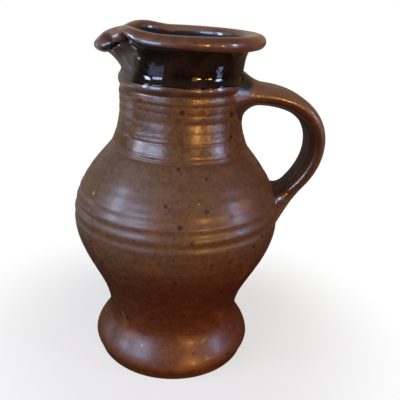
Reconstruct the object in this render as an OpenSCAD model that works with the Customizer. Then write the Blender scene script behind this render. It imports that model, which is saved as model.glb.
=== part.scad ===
// A thrown stoneware jug with a splayed foot, a round belly, a dark glazed collar,
// a rolled rim with a pulled spout, and a pulled strap handle.
// Frame: Z is up and is the axis of the wheel, and the origin is the middle of the flat base.
// The handle stands on the +X side and the spout points along -X.

/* [Foot] */
// Radius of the foot at its widest, on the top edge of the slab
foot_r = 63; // [58:0.5:72]
// How far the slab's side draws in below that edge, down to the ground
base_draw = 3.5; // [1:0.25:8]
// Thickness of the base slab
base_t = 9; // [6:0.5:14]
// Height of the splayed foot wall above the slab
foot_h = 27; // [20:0.5:40]
// Radius of the waist between the foot and the belly
waist_r = 51.5; // [44:0.5:57]

/* [Belly] */
// Height from the waist to the widest ring of the belly
lower_belly_h = 79; // [60:1:110]
// Radius of the belly at its widest
belly_r = 77.5; // [68:0.5:92]
// Height of the shoulder from the widest ring to the neck line
shoulder_h = 53.5; // [42:0.5:75]
// Thickness of the thrown wall
wall = 6.5; // [4.5:0.25:8.5]
// Distance from one finger groove to the next, above the widest ring
finger_pitch = 8.2; // [6:0.2:12]
// Depth of the deepest finger groove
finger_depth = 0.7; // [0.1:0.1:1.2]

/* [Neck] */
// Radius at the incised neck line
neck_line_r = 51; // [47:0.5:58]
// Radius of the neck at its narrowest
neck_r = 44.2; // [38:0.2:48]
// Height of the neck from the neck line to the groove under the collar
neck_h = 43; // [30:0.5:60]
// Depth of the incised lines and the groove
line_depth = 0.7; // [0.3:0.1:1.5]
// Half of the width of an incised line
line_half_w = 1.5; // [1:0.25:2.5]

/* [Collar and rim] */
// Height of the collar from the groove to the crest of the rim
collar_h = 38.5; // [32:0.5:55]
// Radius of the glossy step above the groove
step_r = 45.2; // [43:0.2:49]
// Radius of the hollow between the step and the rim
collar_r = 42.8; // [38:0.2:46]
// Radius of the rolled rim at its widest
rim_r = 56.3; // [53:0.1:66]
// Width of the roll from inside to outside
rim_w = 11.2; // [8:0.2:14]
// Height of the roll
rim_h = 9.6; // [8:0.2:14]
// Thickness of the glaze coats
glaze_t = 0.5; // [0.3:0.1:1]

/* [Spout] */
// How far the lip is pulled out beyond the round rim
spout_reach = 5.2; // [2:0.2:12]
// How far the lip drops below the crest
spout_drop = 8; // [2:0.5:10]
// Half of the angle that the pulled lip takes
lip_half_angle = 40; // [25:1:50]
// Angle from the lip to the middle of each pinched flank
pinch_angle = 34; // [30:1:38]
// How far each flank is pinched in
pinch_depth = 2.6; // [0.5:0.1:4]
// How far the pinch lifts the flank on the -Y side
near_rise = 3; // [0:0.2:4]
// How far the pinch lifts the flank on the +Y side
far_rise = 2.6; // [0:0.2:4]
// Depth of the hollow that a finger pressed in on each side of the lip
press_depth = 4; // [0.5:0.25:5]
// How far the fold between that hollow and the roll stands out
fold_out = 3.6; // [0.5:0.2:4.5]

/* [Handle] */
// How far the handle stands out beyond the widest ring of the belly
handle_out = 31; // [24:0.5:45]
// Thickness of the strap at its root
handle_root_t = 15.5; // [11:0.5:18]
// Thickness of the strap at its tail
handle_tail_t = 11.5; // [8:0.5:14]
// Width of the strap at its root
handle_root_w = 42; // [30:1:48]
// Width of the strap at its tail
handle_tail_w = 24; // [18:1:34]
// Depth of the thumb groove along the back of the strap
handle_groove = 1.2; // [0.4:0.1:2.5]
// Height of the strap's middle at the root, below the groove under the collar
root_below = 3.5; // [0:0.5:8]
// Height of the strap's middle at the tail, above the widest ring of the belly
tail_above = 13.5; // [8:0.5:24]
// Reach of the clay that is wiped on around the root and the tail
wipe = 12; // [6:0.5:14]

/* [Hidden] */

clay_colour = "#6e4d39";
foot_colour = "#70402c";
glaze_colour = "#241a16";
liner_colour = "#33291f";

// Radius of the flat base on the ground, and heights of the joints between the thrown sections
base_r = foot_r - base_draw;
waist_z = base_t + foot_h;
widest_z = waist_z + lower_belly_h;
neck_z = widest_z + shoulder_h;
groove_z = neck_z + neck_h;
crest_z = groove_z + collar_h - glaze_t;

// Bows of the curves that join the named radii
base_bow = 1.4;
foot_bow = 0.93;
shoulder_bow = 1.1;
neck_bow = 2.5;
neck_flare_share = 0.74;

// Finger grooves on the shoulder, as [height above the widest ring, depth], in shares of their
// pitch and of the deepest groove, and half of their width as a share of the pitch
finger_shares = [[0.6, 1], [1.63, 0.9], [2.57, 0.75], [4.1, 0.3]];
finger_half_share = 0.38;

// Profile steps
belly_step = finger_pitch / 5;
neck_step = line_half_w * 2 / 3;
foot_steps = 14;
base_steps = 4;

function ramp(v, low, high) = min(1, max(0, (v - low) / (high - low)));
function half_wave(u) = (1 - cos(180 * u)) / 2;
function mix(a, b, u) = a + (b - a) * u;
function smooth(u) = u * u * (3 - 2 * u);

// Radius of the thrown outside at a height, before ridges and lines
function base_curve(z) = mix(base_r, foot_r, pow(ramp(z, 0, base_t), base_bow));
function foot_curve(z) = mix(foot_r, waist_r, half_wave(pow(ramp(z, base_t, waist_z), foot_bow)));
function belly_curve(z) = mix(waist_r, belly_r, half_wave(ramp(z, waist_z, widest_z)));
function shoulder_curve(z) =
    mix(neck_line_r, belly_r, cos(90 * pow(ramp(z, widest_z, neck_z), shoulder_bow)));
function neck_curve(z) =
    mix(neck_r, neck_line_r, pow(1 - ramp(z, neck_z, neck_z + neck_flare_share * neck_h), neck_bow));
function thrown_r(z) =
    z < base_t ? base_curve(z)
    : z < waist_z ? foot_curve(z)
    : z < widest_z ? belly_curve(z)
    : z < neck_z ? shoulder_curve(z)
    : neck_curve(z);

// Grooves left by the fingers, and lines cut with a stick while the pot turns
function dip(v, half) = abs(v) < half ? (1 + cos(180 * v / half)) / 2 : 0;
function finger(z, share) =
    -share.y * finger_depth
    * dip(z - widest_z - share.x * finger_pitch, finger_half_share * finger_pitch);
function total(list, i = 0) = i < len(list) ? list[i] + total(list, i + 1) : 0;
function fingers(z) = total([for (share = finger_shares) finger(z, share)]);
function line(z, at, depth) = -depth * dip(z - at, line_half_w);
second_line_z = neck_z + 2 * line_half_w;
low_line_share = 0.27;
high_line_share = 0.85;
function lines(z) =
    line(z, neck_z, line_depth)
    + line(z, second_line_z, line_depth / 2)
    + line(z, neck_z + low_line_share * neck_h, line_depth / 2)
    + line(z, neck_z + high_line_share * neck_h, line_depth / 3)
    + line(z, groove_z, line_depth);
function outside_r(z) = thrown_r(z) + fingers(z) + lines(z);

// The inside keeps the wall's thickness square to the slope of the outside
slope_step = wall / 10;
function slope(z) = (thrown_r(z + slope_step) - thrown_r(z - slope_step)) / (2 * slope_step);
function inside_r(z, t = wall) = thrown_r(z) - t * sqrt(1 + pow(slope(z), 2));

// Heights from low to high in even steps no longer than the one asked for
function heights(low, high, step) =
    let (n = ceil((high - low) / step)) [for (i = [0:n]) mix(low, high, i / n)];
function backwards(list) = [for (i = [len(list) - 1:-1:0]) list[i]];
function tail(list) = [for (i = [1:len(list) - 1]) list[i]];
belly_heights = heights(waist_z, widest_z, belly_step);
shoulder_heights = heights(widest_z, neck_z, belly_step);
neck_heights = heights(neck_z, groove_z, neck_step);
foot_heights = heights(base_t, waist_z, foot_h / foot_steps);
base_heights = heights(0, base_t, base_t / base_steps);

// One thrown section between its outside and its inside
module thrown_section(hs) {
    rotate_extrude($fn = 180)
        polygon([
            each [for (z = hs) [outside_r(z), z]],
            each [for (z = backwards(hs)) [inside_r(z), z]],
        ]);
}

// The collar's clay outside, from the groove over the glossy step to the hollow under the rim,
// as heights above the groove and radii
hollow_share = 0.33;
hollow_z = groove_z + hollow_share * collar_h;
step_shares = [[0, 0], [0.14, 0.8], [0.28, 1], [0.47, 0.8], [0.64, 0.4], [0.82, 0.1], [1, 0]];
hollow_clay_r = collar_r - glaze_t;
collar_outline = [
    for (p = step_shares) [
        p.x == 0 ? outside_r(groove_z) : mix(hollow_clay_r, step_r, p.y),
        mix(groove_z, hollow_z, p.x),
    ],
];
wall_in_r = inside_r(groove_z);

// The dark coat starts on the step and follows the clay up to the rim
coat_from_share = 0.47;
coat_path = [
    for (i = [0:len(step_shares) - 1])
        if (step_shares[i].x >= coat_from_share) collar_outline[i],
];
function chord(list, i) = list[min(len(list) - 1, i + 1)] - list[max(0, i - 1)];
function out_of(list, i) =
    let (d = chord(list, i)) i == len(list) - 1 ? [1, 0] : [d.y, -d.x] / norm(d);

// How the hand shaped the rim, by the angle from the lip, which is positive on the -Y side.
// Each pair is the angle at the middle of a movement and half of the angle that it takes.
lip = [0, lip_half_angle];
chin = [0, lip_half_angle / 2];
pinch = [pinch_angle, 15];
press = [12, 13];
fold = [28.5, 9];
near_flank = [33, 42];
far_flank = [55, 27];
chin_share = 0.16;
thin_share = 0.35;
function swing(a, movement) = dip(a - movement.x, movement.y);
function roll_h(a) =
    rim_h * (1 + chin_share * swing(a, chin) - thin_share * swing(abs(a), pinch));

// Outline of the rolled rim at an angle: up from the hollow, round the roll and down to the
// throat. The roll is an ellipse, and a bend on each side joins it to the wall. The bend below
// it fills out under the lip and the fold. The third value of a point is 1 on the outside.
roll_x = rim_r - rim_w / 2;
roll_start = -110;
roll_end = 180;
roll_steps = 16;
bend_steps = 6;
inner_steps = 5;
under_share = 0.14;
under_chin_share = 0.6;
under_fold_share = 0.85;
inner_bend_shares = [0.7, 0.65];
hollow = [collar_r, hollow_z];
throat = [wall_in_r - glaze_t, hollow_z];
function on_roll(d, h) = [roll_x + cos(d) * rim_w / 2, crest_z - h / 2 + sin(d) * h / 2];
function bend(a, b, c, u) = mix(mix(a, b, u), mix(b, c, u), u);
function rim_outline(a) =
    let (
        h = roll_h(a),
        under = on_roll(roll_start, h),
        filled = max(under_share, under_chin_share * swing(a, chin), under_fold_share * swing(abs(a), fold)),
        under_bend = [mix(hollow.x, under.x, filled), under.y],
        inner = on_roll(roll_end, h),
        inner_bend = [
            mix(throat.x, inner.x, inner_bend_shares.x),
            mix(throat.y, inner.y, inner_bend_shares.y),
        ]
    )
    [
        each [for (i = [0:bend_steps - 1]) [each bend(hollow, under_bend, under, i / bend_steps), 1]],
        each [
            for (i = [0:roll_steps])
                let (d = mix(roll_start, roll_end, i / roll_steps))
                [each on_roll(d, h), 1 - smooth(ramp(d, 0, 90))],
        ],
        each [for (i = [1:inner_steps]) [each bend(inner, inner_bend, throat, i / inner_steps), 0]],
    ];

// Depths below the crest of the pressed hollow and the fold, and half of their heights, as
// shares of the roll's height
press_shares = [0.82, 0.56];
fold_shares = [1.1, 0.78];
function level(z, shares) = dip(crest_z - z - shares.x * rim_h, shares.y * rim_h);

// A point of the rim's outline moved as the fingers moved the clay
function pulled(p, a) =
    let (
        lift = smooth(ramp(p.y, hollow_z, crest_z - rim_h / 4)),
        pressed = press_depth * swing(abs(a), press) * level(p.y, press_shares),
        folded = fold_out * swing(abs(a), fold) * level(p.y, fold_shares),
        rise = near_rise * swing(a, near_flank) + far_rise * swing(-a, far_flank)
    )
    [
        p.x + lift * (spout_reach * swing(a, lip) - pinch_depth * swing(abs(a), pinch))
        + p.z * (folded - pressed),
        p.y + lift * (rise - spout_drop * swing(a, lip)),
    ];

// The rim's rings: closer together round the spout
spout_half_angle = lip_half_angle + 10;
spout_steps = 38;
round_steps = 42;
rim_angles = [
    each [for (k = [0:spout_steps - 1]) mix(-spout_half_angle, spout_half_angle, k / spout_steps)],
    each [
        for (k = [0:round_steps - 1])
            let (a = mix(spout_half_angle, 360 - spout_half_angle, k / round_steps))
            a > 180 ? a - 360 : a,
    ],
];

// A closed skin through rings of points that have the same count. Each ring goes
// anticlockwise as seen from the next one. The ends meet in a loop, or each is capped by a
// ladder of triangles whose rungs join the two halves of its ring.
function cap(n) = [
    for (i = [0:n / 2 - 2]) [i, i + 1, n - i - 1],
    for (i = [1:n / 2 - 1]) [i, n - i - 1, n - i],
];
module through(rings, loop = false) {
    n = len(rings[0]);
    m = len(rings);
    last = (m - 1) * n;
    polyhedron(
        points = [for (ring = rings) each ring],
        faces = [
            if (!loop) each cap(n),
            if (!loop) each [for (t = cap(n)) [last + t[2], last + t[1], last + t[0]]],
            for (k = [0:loop ? m - 1 : m - 2], i = [0:n - 1], half = [0, 1])
                let (
                    a = k * n + i,
                    b = k * n + (i + 1) % n,
                    c = ((k + 1) % m) * n + i,
                    d = ((k + 1) % m) * n + (i + 1) % n
                )
                half == 0 ? [a, c, b] : [b, c, d],
        ]
    );
}

// The handle's middle line: two curves that meet at its outermost point. The first leaves
// the neck a little upwards, and the second comes down steeply onto the shoulder.
strap_mid_x = belly_r + handle_out - (handle_root_t + handle_tail_t) / 4;
root_z = groove_z - root_below;
tail_z = widest_z + tail_above;
outermost_share = 0.55;
outermost_z = mix(tail_z, root_z, outermost_share);
root_run_share = 0.68;
upper_bend_share = 0.63;
lower_bend_share = 0.58;
root_angle = 7;
root_dir = [cos(root_angle), sin(root_angle)];
tail_angle = 46;
tail_dir = [cos(tail_angle), sin(tail_angle)];
tail_run_share = 0.12;
bury = wall * 2 / 3;
root_end = [thrown_r(root_z) - bury, root_z];
tail_end = [thrown_r(tail_z), tail_z] - bury * tail_dir;
outermost = [strap_mid_x, outermost_z];
handle_rise = root_z - tail_z;
upper = [
    root_end,
    root_end + root_run_share * (strap_mid_x - root_end.x) * root_dir,
    outermost + [0, upper_bend_share * (root_z - outermost_z)],
    outermost,
];
lower = [
    outermost,
    outermost - [0, lower_bend_share * (outermost_z - tail_z)],
    tail_end + tail_run_share * handle_rise * tail_dir,
    tail_end,
];
function curve(c, u) = mix(bend(c[0], c[1], c[2], u), bend(c[1], c[2], c[3], u), u);
// 0 is the root, a half is the outermost point and 1 is the tail
function middle(s) = s < 1 / 2 ? curve(upper, 2 * s) : curve(lower, 2 * s - 1);
near_share = 0.0025;
function heading(s) =
    let (d = middle(min(1, s + near_share)) - middle(max(0, s - near_share))) d / norm(d);

// A ring of the strap: a flattened oval with a thumb groove on its back. Near the wall it
// spreads along it as the wiped clay does, and bends back on both sides to hug its round form.
// The back is wiped further than the two crotches, which are the underside of the root and the
// upper side of the tail. Each pair of shares is for the root and for the tail.
oval_share = 0.85;
ring_points = 24;
crotch_shares = [0.9, 0.75];
back_shares = [0.45, 0.4];
side_share = 0.55;
back_reach_share = 1.5;
hug_reach_share = 1.2;
function sag(z, y) = thrown_r(z) - sqrt(max(0, pow(thrown_r(z), 2) - y * y));
function along_wall(z) = [slope(z), 1] / norm([slope(z), 1]);
function swell(v, power) = sign(v) * pow(abs(v), power);
function strap_point(s, a) =
    let (
        m = middle(s),
        d = heading(s),
        out = [-d.y, d.x],
        w = mix(handle_root_w, handle_tail_w, s),
        t = mix(handle_root_t, handle_tail_t, s),
        side = swell(cos(a), oval_share),
        rise = swell(sin(a), oval_share),
        dish = rise > 0 ? handle_groove * pow(1 - side * side, 2) : 0,
        y = side * w / 2,
        p = m + (rise * t / 2 - dish) * out,
        hug = 1 - smooth(ramp(m.x - thrown_r(m.y), 0, hug_reach_share * wipe)),
        clear = norm([p.x - hug * sag(p.y, y), y]) - thrown_r(p.y),
        reach = wipe * (rise > 0 ? back_reach_share : 1),
        spread = reach * pow(1 - ramp(clear, 0, reach), 2),
        wiped = rise > 0 ? back_shares : crotch_shares,
        wall_way = along_wall(p.y),
        q = p + spread * mix(wiped[0], wiped[1], s) * sin(a) * sign(out * wall_way) * wall_way,
        edge = y + wipe * pow(1 - ramp(clear, 0, wipe), 2) * side_share * cos(a)
    )
    [q.x - hug * sag(q.y, edge), edge, q.y];
function strap_ring(s) = [for (i = [0:ring_points - 1]) strap_point(s, 360 * i / ring_points)];

// The strap's stations: closer together where it spreads onto the pot
root_to_share = 0.15;
tail_from_share = 0.83;
end_steps = 12;
strap_steps = 26;
root_stations = [for (i = [0:end_steps]) root_to_share * i / end_steps];
strap_stations = [for (i = [0:strap_steps]) mix(root_to_share, tail_from_share, i / strap_steps)];
tail_stations = [for (i = [0:end_steps]) mix(tail_from_share, 1, i / end_steps)];
module strap(stations) {
    through([for (s = stations) strap_ring(s)]);
}

// The thrown clay as one full form, to seat the handle's ends against its outside
module full_form(outline) {
    rotate_extrude($fn = 180)
        polygon([
            [0, outline[0].y],
            each outline,
            [0, outline[len(outline) - 1].y],
        ]);
}

module base() {
    color(foot_colour)
        rotate_extrude($fn = 180)
            polygon([[0, 0], each [for (z = base_heights) [base_curve(z), z]], [0, base_t]]);
}

module foot() {
    color(foot_colour) thrown_section(foot_heights);
}

module belly() {
    color(clay_colour) thrown_section(belly_heights);
}

module shoulder() {
    color(clay_colour) thrown_section(shoulder_heights);
}

module neck() {
    color(clay_colour) thrown_section(neck_heights);
}

module collar() {
    color(clay_colour)
        rotate_extrude($fn = 180)
            polygon([each collar_outline, [wall_in_r, hollow_z], [wall_in_r, groove_z]]);
}

module rim() {
    color(clay_colour)
        through([
            for (a = backwards(rim_angles))
                [
                    for (p = rim_outline(a))
                        let (q = pulled(p, a)) [-q.x * cos(a), -q.x * sin(a), q.y],
                ],
        ], loop = true);
}

// The coat inside that makes the jug hold water, from the base slab up to the collar
module liner_glaze() {
    hs = [
        each foot_heights,
        each tail(belly_heights),
        each tail(shoulder_heights),
        each tail(neck_heights),
    ];
    color(liner_colour)
        rotate_extrude($fn = 180)
            polygon([
                [0, base_t],
                each [for (z = hs) [inside_r(z), z]],
                [wall_in_r, hollow_z],
                [wall_in_r - glaze_t, hollow_z],
                each [for (z = backwards(hs)) if (z > base_t + glaze_t) [inside_r(z) - glaze_t, z]],
                [inside_r(base_t) - glaze_t, base_t + glaze_t],
                [0, base_t + glaze_t],
            ]);
}

module collar_glaze() {
    color(glaze_colour)
        difference() {
            rotate_extrude($fn = 180)
                polygon([
                    each [for (i = [0:len(coat_path) - 1]) coat_path[i] + glaze_t * out_of(coat_path, i)],
                    each backwards(coat_path),
                ]);
            strap(root_stations);
        }
}

module handle_root() {
    color(clay_colour)
        difference() {
            strap(root_stations);
            full_form([each [for (z = neck_heights) [outside_r(z), z]], each tail(collar_outline)]);
        }
}

module handle() {
    color(clay_colour) strap(strap_stations);
}

module handle_tail() {
    color(clay_colour)
        difference() {
            strap(tail_stations);
            full_form([
                for (z = [each belly_heights, each tail(shoulder_heights)]) [outside_r(z), z],
            ]);
        }
}

base();
foot();
belly();
shoulder();
neck();
collar();
rim();
liner_glaze();
collar_glaze();
handle_root();
handle();
handle_tail();
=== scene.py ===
# %% [markdown]
# # A thrown stoneware jug
# This lesson dresses a brown stoneware jug in Blender. A potter throws the foot, belly, neck and
# collar on a wheel, rolls the rim, pulls a spout from it, and joins a pulled strap handle to the
# side. The imported model already holds each of those pieces at its real size, so every surface
# below is built around it: round pieces are spun, and the spout and the handle are shaped one by one.

# %% The imported model
import math

import bmesh
import bpy
from mathutils import Matrix, Vector, noise


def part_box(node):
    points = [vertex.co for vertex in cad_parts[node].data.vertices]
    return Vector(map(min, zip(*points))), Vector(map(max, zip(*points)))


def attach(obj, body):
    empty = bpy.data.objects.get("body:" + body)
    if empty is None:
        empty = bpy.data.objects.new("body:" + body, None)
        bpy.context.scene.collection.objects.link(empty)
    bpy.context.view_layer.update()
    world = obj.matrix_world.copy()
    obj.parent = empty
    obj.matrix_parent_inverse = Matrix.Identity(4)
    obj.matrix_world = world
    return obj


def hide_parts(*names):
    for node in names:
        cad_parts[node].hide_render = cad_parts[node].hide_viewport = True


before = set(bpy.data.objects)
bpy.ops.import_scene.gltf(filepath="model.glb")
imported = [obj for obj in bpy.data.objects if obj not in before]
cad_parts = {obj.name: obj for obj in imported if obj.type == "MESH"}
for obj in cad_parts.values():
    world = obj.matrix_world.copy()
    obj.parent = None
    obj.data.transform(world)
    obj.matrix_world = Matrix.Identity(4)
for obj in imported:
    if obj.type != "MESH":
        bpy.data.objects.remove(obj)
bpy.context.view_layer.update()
scene = bpy.context.scene
MM = 0.001
collar_and_rim_h = 38.0


def top_of(node):
    """Height of a node's top, in millimetres."""
    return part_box(node)[1][2] / MM


def reach_of(node):
    """Largest distance of a node from the axis along Y, in millimetres."""
    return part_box(node)[1][1] / MM


slab_top = top_of("base")
waist_z = top_of("foot")
widest_z = top_of("belly")
neck_line_z = top_of("shoulder")
groove_z = top_of("neck")
hollow_z = top_of("collar")
crest_z = groove_z + collar_and_rim_h
joints = (slab_top, waist_z, widest_z, neck_line_z, groove_z, hollow_z, crest_z)
print(len(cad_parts), "packed nodes, joints at", [round(z, 1) for z in joints])

# %% [markdown]
# ## The camera
# The photograph was taken with a phone held close and a little above the rim, so the rim is seen
# almost edge on while the foot is seen from well above. Copying that needs the real distance, not
# only the direction: 374 mm from the axis and 276 mm above the table. The phone was also held
# slightly crooked, which is the roll.

# %% Camera
camera_distance = 374.2
camera_height = 276.1
camera_turn = math.radians(3.0)
aim_yaw = math.radians(5.7)
aim_pitch = math.radians(22.1)
aim_roll = math.radians(3.4)
picture_px = 400
focal_px = 520
sensor_mm = 36

to_camera = Vector((-math.sin(camera_turn), -math.cos(camera_turn), 0))
eye = to_camera * camera_distance
eye.z = camera_height
flat_part = math.cos(aim_pitch)
ahead = Vector((math.sin(aim_yaw) * flat_part, math.cos(aim_yaw) * flat_part, -math.sin(aim_pitch)))
level = Vector((math.cos(aim_yaw), -math.sin(aim_yaw), 0))
upright = level.cross(ahead)
right = level * math.cos(aim_roll) + upright * math.sin(aim_roll)
above = upright * math.cos(aim_roll) - level * math.sin(aim_roll)
camera_data = bpy.data.cameras.new("camera")
camera_data.lens = focal_px / picture_px * sensor_mm
camera_data.sensor_width = sensor_mm
camera_data.clip_start = 0.01
camera = bpy.data.objects.new("camera", camera_data)
turn = Matrix((right, above, -ahead)).transposed().to_4x4()
camera.matrix_world = Matrix.Translation(eye * MM) @ turn
scene.collection.objects.link(camera)
scene.camera = camera
print("camera at", [round(v) for v in eye], "mm, lens", camera_data.lens)

# %% [markdown]
# ## Colours and nodes
# Colours are written as the hex values that a paint program shows. Blender works in linear light,
# so one function turns them. A second small function adds a shader node: it sets the node's
# fields, fills or links its inputs by place or by name, and gives back one output, so that a
# material reads as a list of steps.


# %% Colour and node helpers
def colour(hex_value):
    """A linear colour from sRGB hex."""
    parts = [int(hex_value[i:i + 2], 16) / 255 for i in (1, 3, 5)]
    return [v / 12.92 if v <= 0.04045 else ((v + 0.055) / 1.055) ** 2.4 for v in parts] + [1.0]


def add(tree, kind, inputs=(), output=0, **fields):
    """One output of a new shader node, with its fields set and its inputs filled or linked."""
    made = tree.nodes.new("ShaderNode" + kind)
    for name, value in fields.items():
        setattr(made, name, value)
    for place, value in inputs.items() if isinstance(inputs, dict) else enumerate(inputs):
        if isinstance(value, bpy.types.NodeSocket):
            tree.links.new(value, made.inputs[place])
        else:
            made.inputs[place].default_value = value
    return made.outputs[output] if len(made.outputs) else None


def new_material(name):
    """An empty node material and its tree."""
    made = bpy.data.materials.new(name)
    made.use_nodes = True
    made.node_tree.nodes.clear()
    return made, made.node_tree


def dress(piece, material, surface):
    """Ends a material with its surface and lays it on a piece."""
    add(material.node_tree, "OutputMaterial", {"Surface": surface})
    piece.data.materials.append(material)
    print(material.name, "on", piece.name, "has", len(material.node_tree.nodes), "nodes")


# A Mix node has inputs 0, 6 and 7 and output 2 for colours. A Map Range is eased by its field.
COLOURS = {"output": 2, "data_type": "RGBA"}
EASED = {"interpolation_type": "SMOOTHSTEP"}

# %% [markdown]
# ## Stage and light
# The jug stands on a plain pale floor. The camera sees it white away from the jug, with a soft
# shadow near it. A glossy pot also mirrors the room around it, so rays that don't come from the
# camera meet a dim table and dim walls in front, pale ones behind on the left, and tan ones behind
# on the right. The lamps stand where the highlights on the neck and the rim say they were: bluish
# windows and low panes to the left and the right, small warm lamps with a warm wall between them,
# and a broad ceiling light that lifts the shadows and isn't mirrored.

# %% Floor
# Matt white paper, so that the eye sees only the jug and its soft shadow. Each pair is where a
# change starts and ends, in metres from the jug's axis.
floor_half = 30
shadow_fades = (0.08, 0.22)
white_at_the_foot = 0.62
table_back = (0.08, 0.4)
table_side = (-0.1, 0.15)
mesh = bpy.data.meshes.new("floor")
bm = bmesh.new()
bmesh.ops.create_grid(bm, x_segments=1, y_segments=1, size=floor_half)
bm.to_mesh(mesh)
bm.free()
floor = bpy.data.objects.new("floor", mesh)
scene.collection.objects.link(floor)
paper, tree = new_material("white_paper_floor")
where = add(tree, "TexCoord", output="Object")
far = add(tree, "VectorMath", [where], "Value", operation="LENGTH")
fade = add(tree, "MapRange", [far, *shadow_fades, white_at_the_foot, 1.0], **EASED)
to_eye = add(tree, "LightPath", output="Is Camera Ray")
seen_white = add(tree, "Math", [fade, to_eye], operation="MULTIPLY")
behind = add(tree, "MapRange", [add(tree, "SeparateXYZ", [where], "Y"), *table_back])
sideways = add(tree, "MapRange", [add(tree, "SeparateXYZ", [where], "X"), *table_side])
far_table = add(tree, "Mix", {0: sideways, 6: colour("#e6ded2"), 7: colour("#a3866a")}, **COLOURS)
table = add(tree, "Mix", {0: behind, 6: colour("#33291d"), 7: far_table}, **COLOURS)
tone = add(tree, "Mix", {0: to_eye, 6: table, 7: colour("#d6d3ce")}, **COLOURS)
shaded = add(tree, "BsdfDiffuse", {"Color": tone})
glow = add(tree, "Emission")
dress(floor, paper, add(tree, "MixShader", [seen_white, shaded, glow]))

# %% Room
# Each pair is where a change starts and ends, as a share of the way up, back or to the right.
overhead_rise = (0.15, 0.75)
behind_share = (0.3, 0.85)
wall_side = (-0.25, 0.35)
straight_back = (0.05, 1.0, 0.0)
world = bpy.data.worlds.new("studio")
world.use_nodes = True
tree = world.node_tree
tree.nodes.clear()
to_eye = add(tree, "LightPath", output="Is Camera Ray")
way = add(tree, "TexCoord", output="Generated")
facing_back = add(tree, "VectorMath", [way, straight_back], "Value", operation="DOT_PRODUCT")
overhead = add(tree, "MapRange", [add(tree, "SeparateXYZ", [way], "Z"), *overhead_rise])
behind = add(tree, "MapRange", [facing_back, *behind_share])
sideways = add(tree, "MapRange", [add(tree, "SeparateXYZ", [way], "X"), *wall_side])
front = add(tree, "Mix", {0: overhead, 6: colour("#3f3327"), 7: colour("#6f6558")}, **COLOURS)
far_wall = add(tree, "Mix", {0: sideways, 6: colour("#cbc3b8"), 7: colour("#a3866a")}, **COLOURS)
walls = add(tree, "Mix", {0: behind, 6: front, 7: far_wall}, **COLOURS)
room = add(tree, "Background", {"Color": walls})
white = add(tree, "Background", {"Color": colour("#ffffff")})
add(tree, "OutputWorld", {"Surface": add(tree, "MixShader", [to_eye, room, white])})
scene.world = world
scene.view_settings.view_transform = "Standard"
print("room", len(tree.nodes), "nodes")

# %% Lamps
to_right = Vector((math.cos(camera_turn), -math.sin(camera_turn), 0))
light_aim = Vector((0, 0, 0.17))


def soft_light(name, degrees, rise, distance, size, watts, tint):
    """A soft rectangular light, turned to the jug's middle."""
    data = bpy.data.lights.new(name, "AREA")
    data.shape = "RECTANGLE"
    data.size, data.size_y = size
    data.energy = watts
    data.color = colour(tint)[:3]
    lamp = bpy.data.objects.new(name, data)
    a, b = math.radians(degrees), math.radians(rise)
    way = (to_camera * math.cos(a) + to_right * math.sin(a)) * math.cos(b) + Vector((0, 0, math.sin(b)))
    lamp.location = light_aim + way * distance
    lamp.rotation_euler = (-way).to_track_quat("-Z", "Y").to_euler()
    lamp.visible_camera = False
    scene.collection.objects.link(lamp)
    return lamp


# Each lamp: degrees to the right of the camera, degrees above the jug's middle, distance and size
# in metres, watts and tint.
lamps = {
    "left_window": (-72, 19, 1.0, (0.16, 0.42), 5.5, "#c9dcff"),
    "left_pane": (-43, 16, 1.0, (0.42, 0.34), 6.0, "#bcd4ff"),
    "left_low_pane": (-46, -4, 0.5, (0.36, 0.1), 0.16, "#b4ccff"),
    "right_low_pane": (70, -5, 0.5, (0.07, 0.11), 0.1, "#b4ccff"),
    "left_low_strip": (-104, -12, 0.6, (0.12, 0.09), 0.12, "#d8e2ff"),
    "right_window": (70, 14, 1.0, (0.13, 0.32), 3.2, "#bccfff"),
    "warm_lamp_near": (30, 5, 1.3, (0.1, 0.13), 4.5, "#ffb95e"),
    "warm_lamp_far": (52, 5, 1.3, (0.07, 0.13), 2.0, "#ffb95e"),
    "warm_wall": (24, 8, 1.7, (0.35, 1.0), 3, "#ffb066"),
    "ceiling": (0, 50, 2.0, (2.4, 1.8), 13, "#ffefdc"),
}
lit = {name: soft_light(name, *settings) for name, settings in lamps.items()}
lit["ceiling"].visible_glossy = False
print("lamps", list(lit))

# %% [markdown]
# ## The curve of the thrown wall
# A thrown pot is a surface of revolution with a few named radii: base, foot, waist, belly, neck
# line and neck. Half waves join them, as they do on the real wall, where the clay was swept in one
# movement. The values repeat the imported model's.

# %% Thrown curve
base_r = 59.5
foot_r = reach_of("foot")
waist_r = 51.5
belly_r = 77.5
neck_line_r = 51.0
neck_r = 44.2
wall = 6.5
glaze_t = 0.5
finger_pitch = 8.2
finger_depth = 0.7
line_half = 1.4
soft_edge = 0.8
base_sweep = 1.4
foot_sweep = 0.93
shoulder_sweep = 1.1
neck_sweep = 2.5
flare_share = 0.74
probe = 0.6


def ramp(value, low, high):
    """0 below low, 1 above high, and straight between."""
    return min(1.0, max(0.0, (value - low) / (high - low)))


def mix(a, b, share):
    """The value a share of the way from a to b."""
    return a + (b - a) * share


def smooth(share):
    """A share eased at both ends."""
    return share * share * (3 - 2 * share)


def half_wave(share):
    """Half of a wave, from 0 to 1."""
    return (1 - math.cos(math.pi * share)) / 2


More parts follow.
